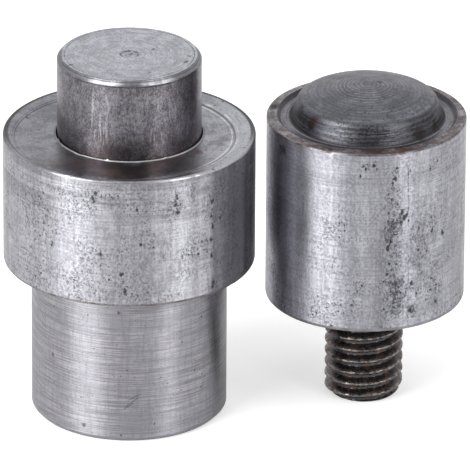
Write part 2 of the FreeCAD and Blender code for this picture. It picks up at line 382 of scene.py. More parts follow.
# %% A bench for building materials
class Bench(Tree):
    """A material's node tree. Coats of colour go over one another, from the first colour on."""

    def __init__(self, name, axis, colour):
        self.material = bpy.data.materials.new(name)
        self.material.use_nodes = True
        super().__init__(self.material.node_tree)
        self.colour = colour
        self.place = self.pattern("Mapping", {
            "Vector": self.node("TexCoord").outputs["Object"], "Location": [-value / mm for value in axis],
            "Scale": (1 / mm, 1 / mm, 1 / mm)})
        split = self.node("SeparateXYZ", {0: self.place}).outputs
        self.x, self.y, self.z = (Pattern(self, socket) for socket in split)
        self.radius = self.maths("SQRT", self.x * self.x + self.y * self.y)
        self.along = self.radius + self.z
        self.turn = self.maths("ARCTAN2", self.x, self.y * -1.0)

    @property
    def wear(self):
        """1 on the rounded edges of the mesh, and 0 elsewhere."""
        return self.pattern("Attribute", output="Fac", attribute_name="wear")

    def most(self, *values):
        largest = values[0]
        for value in values[1:]:
            largest = self.maths("MAXIMUM", largest, value)
        return largest

    def noise(self, scale, detail, roughness=0.5, stretch=None):
        place = self.vectors("MULTIPLY", self.place, stretch) if stretch else self.place
        return self.noise_at(place, scale, detail, roughness)

    def noise_at(self, place, scale, detail, roughness):
        return self.pattern("TexNoise", {"Vector": place, "Scale": scale, "Detail": detail,
                                         "Roughness": roughness}, "Fac")

    def lines(self, fineness, drift=0.12):
        """Lathe lines round the axis, on a side or on a face, that change slowly on their way round."""
        place = self.node("CombineXYZ", {0: self.x * drift, 1: self.y * drift, 2: self.along * fineness})
        return self.noise_at(place, 1.0, 3.0, 0.6)

    def column(self, degrees, half_width):
        """1 in a strip up the side, by its angle from the front towards the right, fading to 0."""
        away = self.maths("ABSOLUTE", self.turn - math.radians(degrees))
        return away.between(math.radians(half_width * 0.3), math.radians(half_width), 1.0, 0.0)

    def spots(self, places, ragged=0.4, fineness=1.2, upright=1.0):
        """1 inside ragged spots, each with a place and a reach in millimetres, fading to 0."""
        squeezed = self.vectors("MULTIPLY", self.place, (1, 1, upright))
        nearest = 100.0
        for (x, y, z), reach in places:
            away = self.vectors("DISTANCE", squeezed, (x, y, z * upright))
            nearest = self.maths("MINIMUM", away * (1 / reach), nearest)
        rough = (self.noise(fineness, 3.0) - 0.5) * (ragged * 4)
        return (nearest + rough).between(0.35, 1.0, 1.0, 0.0)

    def pits(self, cells, size, ragged, share):
        """1 in round ragged pits of mixed size. Only a share of the cells has a pit."""
        bent = self.pattern("TexNoise", {"Vector": self.place, "Scale": cells * 2.5, "Detail": 3.0}, "Color")
        bent = self.vectors("SCALE", self.vectors("SUBTRACT", bent, (0.5, 0.5, 0.5)), ragged * size)
        where = self.vectors("ADD", self.place, bent)
        cell = self.node("TexVoronoi", {"Vector": where, "Scale": cells}).outputs
        chance = self.pattern("SeparateColor", {0: cell["Color"]})
        reach = chance.between(1.0 - share, 1.0) * (size * cells)
        return (reach - cell["Distance"]).between(0.0, size * cells * 0.35)

    def scratch(self, start, end, width):
        """1 on a thin line between two places in millimetres, and 0 beside it."""
        run = Vector(end) - Vector(start)
        from_start = self.vectors("SUBTRACT", self.place, start)
        share = self.pattern("Clamp", {0: self.vectors("DOT_PRODUCT", from_start, run / run.length_squared)})
        away = self.vectors("DISTANCE", from_start, self.vectors("SCALE", run, share))
        return away.between(width * 0.3, width, 1.0, 0.0)

    def blend(self, share, *tones):
        under, over = (tone if isinstance(tone, Pattern) else (*tone, 1.0) for tone in tones)
        return self.pattern("Mix", {"Factor": share, 6: under, 7: over}, 2, data_type="RGBA")

    def coat(self, share, tone):
        """Lays a tone over the colour so far, as thickly as the share says."""
        self.colour = self.blend(share, self.colour, tone)

    def finish(self, roughness, height, depth, brushed):
        """Joins the patterns to the steel. The height map is in shares of a depth in millimetres."""
        inputs = {"Base Color": self.colour, "Roughness": roughness, "Metallic": 1.0, "Anisotropic": brushed,
                  "Anisotropic Rotation": 0.25,
                  "Normal": self.node("Bump", {"Height": height, "Distance": depth * mm, "Strength": 1.0})}
        if brushed:
            inputs["Tangent"] = self.node("Tangent", direction_type="RADIAL", axis="Z")
        self.fill(self.tree.nodes["Principled BSDF"], inputs)
        return self.material


# %% [markdown]
# Where the marks of the photographed dies are: degrees from the front towards the right, height and reach
# in millimetres. A cluster of pits is a wide soft spot, and a nick is a small one with a ragged edge.

# %% Places of the marks
head_pits = (
    (22, 26.6, 1.4), (-14, 28.0, 1.0), (-36.6, 21.8, 0.5), (-12, 21.6, 0.6), (42, 17.2, 0.9),
    (-1.2, 18.4, 1.1),
)

head_nicks = (
    (22.6, 27.6, 0.3), (22, 26.9, 0.28), (23, 25.8, 0.25), (-16, 27.5, 0.3), (-14.6, 28.2, 0.2),
    (41, 26.2, 0.22), (40.5, 24.9, 0.25), (41.5, 23.5, 0.22), (40.6, 22.1, 0.22), (41, 20.4, 0.25),
    (-36.6, 21.8, 0.25), (-12, 21.7, 0.2), (42, 17.1, 0.3), (4, 26.6, 0.18), (6, 22.9, 0.18),
    (-3, 19.6, 0.2), (-1, 17.8, 0.25),
)

upper_pits = (
    (16, 28.0, 0.8), (0, 28.8, 0.6), (49, 20.2, 0.5), (17, 15.2, 2.2), (28.5, 15.1, 0.8), (44, 12.9, 0.6),
)

upper_nicks = (
    (16.8, 28.5, 0.2), (15.6, 27.4, 0.26), (14.9, 26.9, 0.2), (25, 28.0, 0.18), (3.6, 28.9, 0.2),
    (-2.5, 28.9, 0.16), (14, 25.2, 0.16), (17.5, 24.6, 0.17), (20.4, 23.6, 0.24), (21.6, 23.0, 0.2),
    (23.6, 23.3, 0.2), (24.6, 22.6, 0.15), (19.6, 22.5, 0.2), (13.4, 20.6, 0.2), (12.2, 19.9, 0.22),
    (14.4, 22.3, 0.14), (15.6, 21.4, 0.16), (13, 18.2, 0.15), (49.1, 20.2, 0.24), (41, 20.9, 0.2),
    (31, 19.2, 0.16), (12, 17.0, 0.16), (27.3, 15.8, 0.24), (30.1, 14.4, 0.2), (26.3, 12.8, 0.24),
    (44.1, 12.9, 0.2), (-20.1, 11.1, 0.2), (44, 28.3, 0.2), (38.8, 27.7, 0.18), (4.8, 29.3, 0.12),
    (-1, 28.6, 0.13), (5.4, 28.6, 0.13), (-3.8, 27.8, 0.13),
)

upper_smudges = (
    (16.3, 16.0, 1.2), (17.4, 14.7, 1.4), (16.6, 13.5, 1.1), (14.6, 22.3, 1.1), (12.8, 20.9, 0.8),
    (20.5, 23.2, 0.9), (28, 12.8, 0.7), (-57, 28.6, 0.8),
)

shank_nicks = (
    (-26.6, 1.4, 0.28), (-4, 0.8, 0.22), (-5.2, 14.2, 0.22), (-24, 13.6, 0.16), (-50, 8.0, 0.2),
    (14, 0.9, 0.16),
)

# Each scratch has two ends, in degrees and height.
shank_scratches = (
    ((-1, 4.0), (6, 4.9)), ((-2, 3.7), (3, 4.3)), ((1, 4.7), (7, 5.3)), ((-66, 12.4), (-60, 11.4)),
)

# On a face a mark has its place in millimetres from the axis, and on the dome also its height.
head_face_nicks = ((11.5, -3.9, 0.3), (-10.2, 3.5, 0.3), (-9.0, -2.5, 0.2), (9.6, -6.4, 0.2))
plunger_face_nicks = (
    (2.33, 1.27, 0.22), (5.6, -1.9, 0.32), (6.0, -0.5, 0.25), (-5.8, -2.9, 0.28), (2.1, -4.6, 0.2),
    (0.1, 0.05, 0.28), (-0.35, -0.2, 0.2),
)
dome_patches = (
    ((1.2, 0.6, 33.2), 0.4), ((-6.7, -2.4, 31.2), 1.0), ((-5.6, -4.8, 30.9), 0.8),
    ((5.2, -5.5, 30.2), 1.1), ((6.8, -3.4, 30.2), 0.9),
)


def side_places(radius, places):
    """The places on a side of the given radius, for spots."""
    return [(on_side(radius, degrees, height), reach) for degrees, height, reach in places]


def face_places(height, places):
    """The places on a face at the given height, for spots."""
    return [((x, y, height / mm), reach) for x, y, reach in places]


def on_side(radius, degrees, height):
    angle = math.radians(degrees)
    return radius / mm * math.sin(angle), -radius / mm * math.cos(angle), height


# %% Raw bar, for the head and for the upper die's side
def raw_bar(name, axis, tones, marks):
    """Bright bar with lines round it and columns up it, fine grain and clusters of pits."""
    clean, dull, dark = tones
    bench = Bench(name, axis, clean)
    clouds = bench.noise(0.5, 6.0, 0.75, stretch=(1, 1, 0.6))
    columns = bench.noise(0.6, 4.0, 0.65, stretch=(1, 1, 0.03))
    fibres = bench.noise(3.0, 3.0, 0.7, stretch=(1, 1, 0.12))
    fine_lines = bench.lines(5.5, 0.18)
    weave = fibres * 0.45 + fine_lines * 0.55
    grain = bench.noise(4.2, 3.0, 0.85, stretch=(1, 1, 0.8))
    pitted, nicks, grained, shaded = marks(bench)
    dense = bench.noise(0.3, 4.0, 0.6).between(0.38, 0.62)
    dense = bench.most(dense * grained, pitted)
    specks = grain.between(0.52, 0.61) * (dense * 0.75 + 0.15)
    pits = bench.pits(2.3, 0.16, 2.6, 0.65) * dense.between(0.5, 0.95)
    few_pits = bench.pits(1.1, 0.17, 2.4, 0.1) * dense.between(0.3, 0.7)
    pits = bench.most(pits, few_pits, nicks)
    bench.coat(clouds.between(0.4, 0.62, 0.0, 0.65) * grained, dull)
    bench.coat(columns.between(0.43, 0.57, 0.0, 0.56), dull)
    bench.coat(weave.between(0.45, 0.57, 0.0, 0.65), dull)
    bench.coat(grain.between(0.39, 0.47, 0.4, 0.0), (0.7, 0.7, 0.74))
    bench.coat(specks * 0.75, dark)
    # Dark coat from the marks: belts and stains, and on the head also a painted dark reflection up its right
    # side.
    bench.coat(bench.most(pitted * 0.22, shaded), dark)
    bench.coat(pits * 0.9, dark)
    bench.coat(bench.wear * clouds.between(0.4, 0.6, 0.9, 0.4), (0.13, 0.1, 0.085))
    holes = bench.most(specks, pits)
    return bench.finish(roughness=clouds * 0.2 + holes * 0.1 + 0.26,
                        height=fine_lines * 0.5 + clouds * 0.3 - holes * 0.7,
                        depth=0.018, brushed=0.85)


def head_marks(bench):
    """Where the head is pitted, nicked and grained, where belts darken it, and where a painted dark reflection
    darkens its right side.
    """
    clusters = bench.spots(side_places(head_radius, head_pits))
    nicks = bench.spots(side_places(head_radius, head_nicks), ragged=0.8, fineness=3.5, upright=0.6)
    strip = bench.column(40, 6) * bench.z.band(19.0, 28.0, 1.0)
    lower = bench.column(1, 15) * bench.z.band(16.8, 18.6, 0.4)
    belt = bench.column(18, 42) * bench.z.band(26.3, 28.7, 0.9)
    scattered = bench.noise(0.9, 4.0, 0.7, stretch=(1, 1, 0.5)).between(0.43, 0.56)
    pitted = bench.most(clusters, bench.most(strip, belt, lower) * scattered)
    belts = bench.lines(1.7, 0.05).between(0.46, 0.58) * bench.z.between(23.5, 26.5)
    # Painted dark reflection: a band up the head's right side is darkened in the colour.
    painted_dark_reflection = bench.turn.band(math.radians(40.5), math.radians(70), math.radians(2.5))
    shaded = bench.most(belts * 0.3, painted_dark_reflection * 0.56)
    return pitted, nicks, bench.z.between(27.5, 29.5, 1.0, 0.5), shaded


def upper_marks(bench):
    """A pitted and stained strip up the front, a little right of the middle, with a thin scratch beside it."""
    clusters = bench.spots(side_places(upper_radius, upper_pits))
    nicks = bench.spots(side_places(upper_radius, upper_nicks), ragged=0.8, fineness=3.5, upright=0.6)
    scattered = bench.noise(0.8, 4.0, 0.7, stretch=(1, 1, 0.5)).between(0.38, 0.52)
    strip = bench.column(15, 8) * bench.z.band(12.0, 27.0, 1.0)
    right = bench.column(32, 14) * bench.z.band(16.5, 22.0, 1.5)
    scratch = bench.scratch(on_side(upper_radius, 24, 28.5), on_side(upper_radius, 25.2, 11.0), 0.09)
    pitted = bench.most(clusters, bench.most(strip, right) * scattered, scratch)
    stained = bench.column(12, 10) * bench.z.between(14.0, 28.0, 0.22, 0.1)
    smudges = bench.spots(side_places(upper_radius, upper_smudges), ragged=0.7, fineness=2.4)
    grit = bench.noise(3.2, 4.0, 0.75).between(0.4, 0.58, 0.3, 0.85)
    stained = bench.most(stained, smudges * grit)
    # A strip up the side with less grain, where the right lamp reflects: partly a cleaner strip, partly a painted
    # highlight.
    painted_highlight_strip = bench.column(23.5, 4) * bench.z.band(17.0, 27.0, 1.0)
    belts = bench.lines(2.2, 0.06).between(0.46, 0.58) * bench.z.between(24.0, 27.5)
    shaded = bench.most(stained, belts * 0.16)
    grained = bench.z.between(21.0, 27.0, 1.0, 0.35) * painted_highlight_strip.between(0, 1, 1.0, 0.1)
    return pitted, nicks, grained, shaded


head_tones = (0.55, 0.547, 0.59), (0.3, 0.295, 0.325), (0.045, 0.045, 0.05)
upper_tones = (0.555, 0.552, 0.602), (0.3, 0.297, 0.333), (0.04, 0.04, 0.045)
head_steel = raw_bar("head_raw_bar", lower_axis, head_tones, head_marks)
upper_steel = raw_bar("upper_raw_bar", upper_axis, upper_tones, upper_marks)


# %% Turned shank
def turned_shank():
    bench = Bench("turned_shank", lower_axis, (0.27, 0.265, 0.285))
    coarse = bench.lines(3.0, 0.1)
    fine = bench.lines(11.0, 0.22)
    clouds = bench.noise(0.3, 6.0, 0.7)
    fibres = bench.noise(3.0, 3.0, 0.7, stretch=(1, 1, 0.1))
    grain = bench.noise(5.0, 3.0, 0.7)
    pits = bench.pits(1.5, 0.13, 2.0, 0.25)
    nicks = bench.spots(side_places(shank_radius, shank_nicks), ragged=0.7, fineness=3.0)
    scratches = [bench.scratch(on_side(shank_radius, *begin), on_side(shank_radius, *end), 0.07)
                 for begin, end in shank_scratches]
    dark = (0.06, 0.06, 0.065)
    shade = coarse * 0.3 + fine * 0.7
    bench.coat(shade.between(0.42, 0.58), (0.5, 0.49, 0.525))
    bench.coat(clouds.between(0.42, 0.6, 0.0, 0.65), (0.35, 0.345, 0.375))
    bench.coat(fibres.between(0.46, 0.62, 0.0, 0.4), (0.26, 0.255, 0.28))
    bench.coat(grain.between(0.56, 0.7, 0.0, 0.5), dark)
    bench.coat(bench.most(pits, nicks) * 0.75, dark)
    bench.coat(bench.most(*scratches) * 0.6, dark)
    return bench.finish(roughness=shade * 0.1 + clouds * 0.15 + 0.27,
                        height=coarse * 0.4 + fine * 0.5,
                        depth=0.018, brushed=0.85)


shank_steel = turned_shank()


# %% Faced top of the head
def faced_top():
    """Facing rings, dull clouds, an oily stain with a painted dark reflection in front of the plunger, and
    painted light and shade.
    """
    bench = Bench("faced_top", lower_axis, (0.36, 0.36, 0.405))
    rings = bench.lines(5.0, 0.2)
    mottle = bench.noise(0.4, 8.0, 0.78)
    grain = bench.noise(4.5, 3.0, 0.8)
    crescent = bench.x.between(7.0, 10.0) * bench.radius.between(9.8, 10.8)
    # Painted light: the face is lighter towards the right.
    bench.coat(bench.x.between(-8.0, 9.0, 0.0, 0.85), (0.5, 0.5, 0.555))
    bench.coat(mottle.between(0.42, 0.6, 0.0, 0.75), (0.19, 0.19, 0.215))
    bench.coat(crescent * 0.75, (0.6, 0.6, 0.66))
    bench.coat(rings.between(0.45, 0.7, 0.0, 0.35), (0.17, 0.17, 0.18))
    bench.coat(grain.between(0.54, 0.66, 0.0, 0.65), (0.07, 0.065, 0.065))
    # In front of the plunger: a brown oily stain, darkened further as a painted dark reflection of the plunger.
    spread = bench.radius + (bench.noise(0.55, 4.0, 0.65) - 0.5) * 5.0
    front = bench.column(0, 62) * spread.band(7.6, 11.6, 0.8)
    black = bench.noise(0.5, 3.0, 0.6).between(0.42, 0.56)
    stain_and_painted_reflection = bench.blend(black, (0.14, 0.097, 0.082), (0.07, 0.06, 0.06))
    bench.coat(front * 0.85, stain_and_painted_reflection)
    nicks = bench.spots(face_places(face_height, head_face_nicks), ragged=0.7, fineness=3.0)
    bench.coat(nicks * 0.8, (0.05, 0.05, 0.055))
    bench.coat(bench.spots(face_places(face_height, [(6.9, -4.8, 0.6)])) * 0.6, (0.17, 0.05, 0.05))
    # Painted shade: a dark outline along the back edge of the face.
    painted_dark_back_edge = bench.most(bench.wear, bench.radius.between(head_radius / mm - 0.6, head_radius / mm - 0.4))
    bench.coat(painted_dark_back_edge * bench.y.between(-5.0, 1.0, 0.0, 0.9), (0.04, 0.04, 0.045))
    bench.coat(bench.pits(1.3, 0.16, 2.5, 0.5) * bench.x.between(3.0, 8.0, 0.1, 0.85), (0.07, 0.055, 0.055))
    # Painted highlight: the worn outer edge is made bright at the front only.
    painted_highlight = bench.wear * mottle.between(0.42, 0.58, 0.1, 0.6)
    painted_highlight = painted_highlight * (bench.y.between(-6.0, 0.0, 1.0, 0.0) * bench.x.between(-2.0, 5.0, 0.15, 1.0))
    outer = bench.radius.band(head_radius / mm - 0.5, head_radius / mm - 0.3, 0.06)
    brown_front = outer * bench.most(bench.column(-10, 60), bench.column(-90, 70) * 0.7)
    bench.coat(brown_front * 0.8, (0.1, 0.075, 0.065))
    bench.coat(painted_highlight, (0.55, 0.55, 0.56))
    shift_x, shift_y = facing_shift.xy / mm
    faced_x, faced_y = bench.x - shift_x, bench.y - shift_y
    faced = bench.maths("SQRT", faced_x * faced_x + faced_y * faced_y)
    edge = facing_radius / mm
    # Painted highlights on the facing step's two edges, clear on the right.
    step_edge_highlights = bench.most(faced.band(edge - 0.45, edge - 0.33, 0.05),
                           faced.band(edge + 0.06, edge + 0.22, 0.05))
    clear_right = bench.x.between(-6.0, 5.0, 0.1, 1.0)
    step_edge_highlights = step_edge_highlights * mottle.between(0.4, 0.56, 0.9, 0.35)
    bench.coat(step_edge_highlights * clear_right, (0.9, 0.9, 0.93))
    # Painted shade on the facing step, between its edges.
    step_painted_shade = faced.band(edge - 0.25, edge - 0.02, 0.06) * clear_right
    bench.coat(step_painted_shade * 0.4, (0.12, 0.12, 0.13))
    lip = bench.radius.band(bore_radius / mm, (bore_radius + burr_width) / mm, 0.04)
    lip = lip * mottle.between(0.4, 0.58, 0.95, 0.5)
    # Painted shade on the burr at the back of the bore.
    bench.coat(lip * bench.y.between(-5.5, 1.0), (0.2, 0.19, 0.19))
    # Painted highlight on the burr at the front of the bore.
    bench.coat(lip * bench.y.between(-6.5, -3.0, 1.0, 0.0), (0.6, 0.585, 0.575))
    return bench.finish(roughness=mottle * 0.3 + 0.2,
                        height=rings * 0.6 + mottle * 0.7,
                        depth=0.014, brushed=0.3)


face_height = head_top - facing_depth
top_steel = faced_top()


# %% Oiled plunger
def glint_places(bench):
    """Where painted glints sit on the plunger's edge: two stretches at its front, where the lamps reflect."""
    broken = bench.noise(1.0, 4.0, 0.6, stretch=(0.5, 0.5, 0.1)).between(0.4, 0.54, 0.3, 1.0)
    stretches = bench.most(bench.column(-20, 20), bench.column(24, 20) * 0.9, 0.06)
    return stretches * broken


def oiled_plunger():
    bench = Bench("oiled_plunger", lower_axis, (0.27, 0.256, 0.286))
    mottle = bench.noise(0.6, 8.0, 0.78)
    grain = bench.noise(5.5, 3.0, 0.85, stretch=(1, 1, 0.75))
    rubs = bench.noise(4.0, 4.0, 0.7, stretch=(1, 1, 0.06))
    # Painted highlights: two columns up the side, where the lamps reflect.
    painted_highlight = bench.most(bench.column(-23, 11), bench.column(26, 13))
    fibres = bench.noise(2.6, 5.0, 0.8, stretch=(1, 1, 0.22))
    bench.coat(mottle.between(0.42, 0.58, 0.0, 0.8), (0.12, 0.11, 0.123))
    bench.coat(fibres.between(0.42, 0.62, 0.0, 0.55), (0.12, 0.11, 0.123))
    bench.coat(grain.between(0.37, 0.46, 0.25, 0.0), (0.42, 0.41, 0.43))
    bench.coat(grain.between(0.46, 0.62, 0.0, 0.66), (0.045, 0.04, 0.045))
    bench.coat(rubs.between(0.5, 0.75, 0.0, 0.45), (0.3, 0.3, 0.31))
    # Painted highlight streaks in those two columns.
    painted_highlight_streaks = rubs.between(0.53, 0.62) * painted_highlight * bench.z.band(31.0, 36.4, 0.8)
    painted_highlight_streaks = painted_highlight_streaks * grain.between(0.35, 0.6, 1.0, 0.3)
    bench.coat(painted_highlight_streaks * 0.75, (0.6, 0.59, 0.58))
    bench.coat(bench.z.between(29.6, 33.0, 1.0, 0.0) * mottle.between(0.35, 0.55) * 0.7, (0.075, 0.055, 0.05))
    edge = bench.z.band(plunger_top / mm - 0.64, plunger_top / mm - 0.54, 0.05)
    bench.coat(edge * 0.7, (0.04, 0.04, 0.045))
    # Painted glints on the worn top edge, in the glint places.
    bench.coat(bench.wear * glint_places(bench), (0.6, 0.6, 0.62))
    return bench.finish(roughness=mottle * 0.2 + 0.22,
                        height=grain * 0.5 + rubs * 0.4,
                        depth=0.016, brushed=0.7)


plunger_top = plunger_high.z
plunger_steel = oiled_plunger()


# %% Plunger's end face
def plunger_face():
    bench = Bench("plunger_face", lower_axis, (0.68, 0.68, 0.755))
    mottle = bench.noise(0.7, 8.0, 0.8)
    grain = bench.noise(5.0, 3.0, 0.85)
    rings = bench.lines(5.0, 0.3)
    bench.coat(mottle.between(0.41, 0.59), (0.49, 0.49, 0.547))
    bench.coat(rings.between(0.48, 0.68, 0.0, 0.45), (0.24, 0.24, 0.265))
    bench.coat(grain.between(0.49, 0.63, 0.0, 0.65), (0.13, 0.13, 0.14))
    rims = bench.most(*(bench.radius.band(low, high, soft) for low, high, soft in (
        (6.42, 6.5, 0.04), (6.76, 6.82, 0.03), (6.93, 6.98, 0.03), (0.78, 0.98, 0.06))))
    broken = bench.noise(0.9, 3.0, 0.6).between(0.38, 0.55, 0.25, 0.9)
    glints = glint_places(bench)
    # Painted shade on the bevel, lighter where the painted glints are.
    bench.coat(bench.radius.between(6.78, 6.84) * glints.between(0.0, 1.0, 0.8, 0.3), (0.15, 0.15, 0.165))
    # Painted glints: a bright broken ring on the outer part of the bevel.
    bench.coat(bench.radius.between(6.95, 7.05) * glints * 0.9, (0.75, 0.75, 0.77))
    bench.coat(rims * broken, (0.07, 0.07, 0.075))
    nicks = bench.spots(face_places(plunger_top, plunger_face_nicks), ragged=0.7, fineness=3.0)
    bench.coat(nicks * 0.8, (0.07, 0.065, 0.065))
    return bench.finish(roughness=mottle * 0.3 + 0.19,
                        height=rings * 0.5 + mottle * 0.8,
                        depth=0.014, brushed=0.2)


face_steel = plunger_face()


# %% Dome of the upper die
def dome_bench(name, colour):
    """What the dome and the rim share: lathe rings, fine and coarse, with mottling and grain."""
    bench = Bench(name, upper_axis + turning_shift, colour)
    rings = bench.lines(3.2, 0.12)
    fine_rings = bench.lines(8.0, 0.3)
    bench.mottle = bench.noise(0.5, 8.0, 0.75)
    bench.grain = bench.noise(3.8, 3.0, 0.8)
    bench.shade = rings * 0.6 + fine_rings * 0.4
    bench.black_grain = bench.grain.between(0.53, 0.65, 0.0, 0.7)
    return bench


def cap_of_dome():
    """Dark blue-grey cap with the tool's rings, a duller flank cut by lines, and painted shade in both corners of
    the groove.
    """
    bench = dome_bench("turned_dome", (0.215, 0.215, 0.25))
    bench.coat(bench.mottle.between(0.4, 0.6), (0.145, 0.145, 0.167))
    bench.coat(bench.shade.between(0.42, 0.58, 0.0, 0.5), (0.11, 0.11, 0.127))
    wander = bench.noise(0.35, 3.0, 0.6) * 1.8
    phase = bench.radius * (1 / tool_ring_spacing) + wander
    ring_line = bench.maths("PINGPONG", phase, 0.5).between(0.33, 0.47) * bench.radius.between(2.2, 4.4, 0.9, 0.3)
    ring_line = ring_line * bench.mottle.between(0.38, 0.56, 1.0, 0.35)
    bench.coat(ring_line, (0.42, 0.42, 0.475))
    flank = bench.radius.band(6.75, 7.75, 0.2)
    cuts = bench.lines(6.5, 0.16).between(0.44, 0.56)
    cut_shade = bench.blend(cuts, (0.025, 0.024, 0.027), (0.095, 0.095, 0.105))
    bench.coat(flank * bench.mottle.between(0.38, 0.58, 0.9, 0.45), cut_shade)
    bench.coat(bench.radius.between(7.75, 7.9) * cuts.between(0.2, 0.8, 0.0, 0.6), (0.3, 0.3, 0.33))
    torn = bench.grain.between(0.48, 0.6) * flank * bench.most(bench.column(-8, 45) * 0.8, 0.25)
    bench.coat(bench.most(bench.black_grain, torn), (0.03, 0.03, 0.032))
    # Painted shade in the groove's two corners, at the dome's foot and under the rim wall.
    corners = bench.most(bench.radius.band(7.6, 7.85, 0.08), bench.radius.band(8.62, 9.05, 0.08))
    bench.coat(corners * 0.75, (0.03, 0.028, 0.028))
    bench.coat(bench.spots(dome_patches) * 0.75, (0.035, 0.028, 0.026))
    bench.coat(bench.spots([((-5.25, -4.75, 31.2), 0.6)]) * 0.8, (0.12, 0.055, 0.047))
    roughness = bench.mottle * 0.3 + 0.18 + flank * 0.08
    height = bench.shade * 0.7 + bench.mottle * 0.5 + ring_line * 0.25 + cuts * flank * 0.5
    return bench.finish(roughness, height, depth=0.035, brushed=0.4)


def rim_of_dome():
    """Grey rim, brown with old rust on its front, with a knock on its left."""
    bench = dome_bench("rusty_rim", (0.46, 0.43, 0.45))
    bench.coat(bench.mottle.between(0.4, 0.6), (0.17, 0.155, 0.163))
    bench.coat(bench.shade.between(0.42, 0.6, 0.0, 0.5), (0.12, 0.11, 0.115))
    rust = bench.noise(0.5, 5.0, 0.7).between(0.38, 0.56)
    rust = rust * bench.most(bench.column(-10, 70) * 0.55, bench.column(12, 28), 0.2)
    chips = bench.wear * bench.mottle.between(0.4, 0.6, 1.0, 0.4)
    rust = bench.most(rust, chips * bench.most(bench.column(-5, 75), 0.2))
    bench.coat(rust * 0.85, (0.12, 0.055, 0.047))
    bench.coat(bench.black_grain, (0.03, 0.028, 0.028))
    knocks = bench.spots(face_places(rim_top, [(-9.4, 1.5, 1.0), (-3.8, -9.2, 0.5)]))
    bench.coat(knocks * 0.8, (0.035, 0.035, 0.04))
    return bench.finish(roughness=bench.mottle * 0.3 + 0.22,
                        height=bench.shade + bench.mottle * 0.6,
                        depth=0.03, brushed=0.2)


tool_ring_spacing = 0.42
dome_steel = cap_of_dome()
rim_steel = rim_of_dome()


# %% Blackened stud
def blackened_stud():
    bench = Bench("blackened_stud", upper_axis, (0.095, 0.091, 0.097))
    crest_radius = (stud_high.x - stud_low.x) / 2 / mm
    crest = bench.radius.between(crest_radius - 0.32, crest_radius - 0.05)
    rust = bench.noise(1.5, 4.0, 0.65).between(0.48, 0.7)
    painted_highlight = bench.noise(1.6, 4.0, 0.6, stretch=(1, 1, 1.6)).between(0.4, 0.6)
    bench.coat(rust, (0.16, 0.1, 0.075))
    bench.coat(crest * painted_highlight, (0.34, 0.3, 0.275))
    return bench.finish(roughness=rust * 0.3 + 0.27, height=bench.noise(4.0, 3.0, 0.6), depth=0.02, brushed=0.0)


stud_steel = blackened_stud()


# %% Small hidden pieces
def plain_steel(name, axis, light, dark, roughness_low):
    bench = Bench(name, axis, light)
    clouds = bench.noise(0.8, 4.0, 0.6)
    bench.coat(clouds.between(0.35, 0.65), dark)
    return bench.finish(roughness=clouds * 0.2 + roughness_low, height=bench.lines(5.0), depth=0.01, brushed=0.0)


spring_steel = plain_steel("spring_wire", lower_axis, (0.2, 0.2, 0.21), (0.12, 0.12, 0.125), 0.2)
disc_steel = plain_steel("seat_disc", lower_axis, (0.42, 0.42, 0.43), (0.3, 0.3, 0.31), 0.25)
ring_steel = plain_steel("phosphated_ring", lower_axis, (0.07, 0.07, 0.075), (0.045, 0.045, 0.05), 0.4)
bore_steel = plain_steel("bored_steel", lower_axis, (0.3, 0.3, 0.31), (0.2, 0.2, 0.21), 0.25)
underside_steel = plain_steel("upper_underside", upper_axis, (0.34, 0.34, 0.35), (0.22, 0.22, 0.23), 0.28)

# %% [markdown]
# ## Lower die body
#
# One turned piece: a raw bar head over a turned shank. The top was faced on a slightly different
# centre, which leaves a thin crescent step near the edge. The bore goes right through, so the outline
# is a closed loop.

# %% Lower die body
fine_step = 0.3 * mm
HEAD, SHANK, TOP, BORE = range(4)
lower_corners = corners_in_runs(
    (SHANK, 0, (shank_radius - shank_chamfer, 0, 0.05 * mm), (shank_radius, shank_chamfer, 0.15 * mm),
     (shank_radius, shank_top)),
    (HEAD, 0, (head_radius, shank_top, head_bottom_round)),
    (TOP, 0, (head_radius, head_top, head_top_round)),
    (TOP, 1, (facing_radius + facing_slope, head_top, facing_round),
     (facing_radius - facing_foot, face_height, facing_round)),
    (TOP, 0, (bore_radius + burr_width, face_height, burr_round),
     (bore_radius + burr_crest, face_height + burr_height, burr_round), (bore_radius, face_height, burr_round)),
    (BORE, 0, (bore_radius, face_height - bore_lip_depth), (bore_radius, bore_shoulder),
     (spring_bore_radius, bore_shoulder), (spring_bore_radius, ring_groove_high),
     (ring_groove_radius, ring_groove_high), (ring_groove_radius, ring_groove_low),
     (spring_bore_radius, ring_groove_low), (spring_bore_radius, bore_mouth_chamfer)),
    (SHANK, 0, (spring_bore_radius + bore_mouth_chamfer, 0)),
)
lower_rows = outline(lower_corners, fine_step, closed=True)
lower_die = turned("lower_die_body_turned", lower_rows, lower_axis, facing_shift,
                   [head_steel, shank_steel, top_steel, bore_steel], closed=True)

lip_lifts = ((-162, 0.4, 0.18), (-106, 0.22, 0.12), (-60, 0.5, 0.05), (-132, 0.8, -0.06))
edge_dents = ((-118, head_top, 0.1), (-58, head_top, 0.08), (-150, head_top, 0.12),
              (-82, shank_top, 0.05), (-35, shank_top, 0.06), (70, head_top, 0.1))
edge_dent_reach = 0.5 * mm
dented(lower_die, [
    (on_circle(lower_axis, bore_radius + burr_width / 2, degrees, face_height + burr_height), reach * mm,
     (0, 0, lift * mm)) for degrees, reach, lift in lip_lifts
] + [
    (on_circle(lower_axis, head_radius, degrees, height), edge_dent_reach, outward(degrees, -depth * mm))
    for degrees, height, depth in edge_dents
])

# %% [markdown]
# ## Plunger
#
# The pin that centres the grommet. Its top has a worn bevel and the small pip that a lathe tool
# leaves at the centre. Below the head it has a flange, so that the spring can't push it out, and a
# pocket for the spring.

